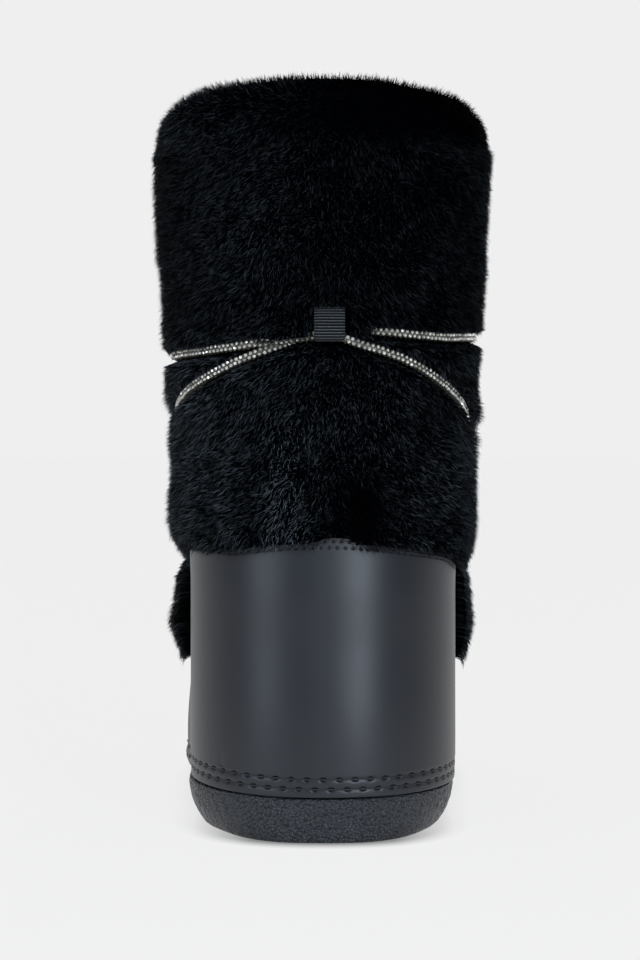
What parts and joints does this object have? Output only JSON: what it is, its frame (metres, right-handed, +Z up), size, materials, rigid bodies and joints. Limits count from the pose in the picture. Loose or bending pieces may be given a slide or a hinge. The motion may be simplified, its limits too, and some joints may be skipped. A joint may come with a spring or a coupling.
{
  "type": "flatform bootie",
  "caption": "Fur-covered after-ski ankle boot with a smooth heel counter, a stone-set lace wound round the ankle and a low rubber sole.",
  "frame": {"origin": "on the floor, under the middle of the boot's box", "axes": "+Y to the toe, +X to the right seen from behind, +Z up the shaft"},
  "size_m": [0.1289, 0.2921, 0.2795],
  "materials": {
    "rubber": "pebble grain, moulded",
    "coated_leather": "satin, smooth",
    "faux_fur": "short dense pile",
    "lining": "napped lining",
    "ribbon": "ribbed weave",
    "stone_cord": "faceted stones on a mesh tube",
    "eyelet_metal": "blackened, satin"
  },
  "bodies": {
    "root": {"outsole": "rubber", "insole": "lining", "upper": "lining", "rand": "coated_leather", "heel_counter": "coated_leather", "mudguard": "coated_leather", "fur_shaft": "faux_fur", "fur_vamp": "faux_fur", "fur_collar": "faux_fur", "back_loop": "ribbon", "lace": "stone_cord", "lace_bar": "stone_cord", "lace_tab_left": "coated_leather", "lace_tab_right": "coated_leather", "eyelet_lower_left": "eyelet_metal", "eyelet_upper_left": "eyelet_metal", "eyelet_lower_right": "eyelet_metal", "eyelet_upper_right": "eyelet_metal"}
  },
  "joints": []
}
